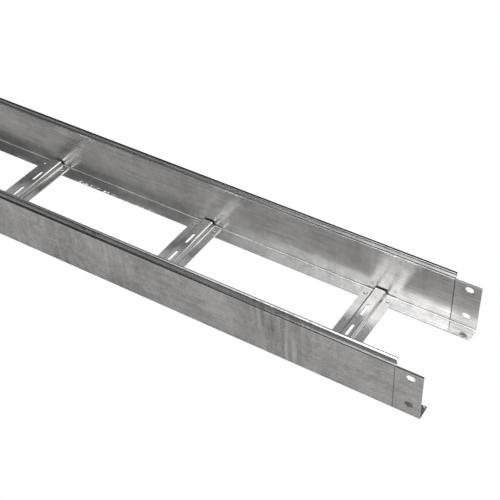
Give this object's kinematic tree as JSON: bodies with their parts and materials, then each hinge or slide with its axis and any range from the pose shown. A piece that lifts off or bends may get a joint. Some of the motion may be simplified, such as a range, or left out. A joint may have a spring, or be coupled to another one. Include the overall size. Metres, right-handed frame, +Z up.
{
  "type": "cable ladder section",
  "caption": "Straight section of galvanised steel cable ladder: two roll-formed side rails with rolled top lips and slotted coupling tongues, joined by slotted hat-section rungs.",
  "frame": {"origin": "under the middle of the section, at the centre of its bounding box's bottom face", "axes": "X along the ladder towards the end that the picture shows, Y across from the near rail to the far rail, Z up"},
  "size_m": [3, 0.15, 0.08],
  "materials": {
    "rail_steel": "galvanised, smooth",
    "rung_steel": "galvanised, smooth"
  },
  "bodies": {
    "root": {"side_rail_near": "rail_steel", "side_rail_far": "rail_steel", "rung_01": "rung_steel", "rung_02": "rung_steel", "rung_03": "rung_steel", "rung_04": "rung_steel", "rung_05": "rung_steel", "rung_06": "rung_steel", "rung_07": "rung_steel", "rung_08": "rung_steel", "rung_09": "rung_steel", "rung_10": "rung_steel", "rung_11": "rung_steel", "rung_12": "rung_steel"}
  },
  "joints": []
}
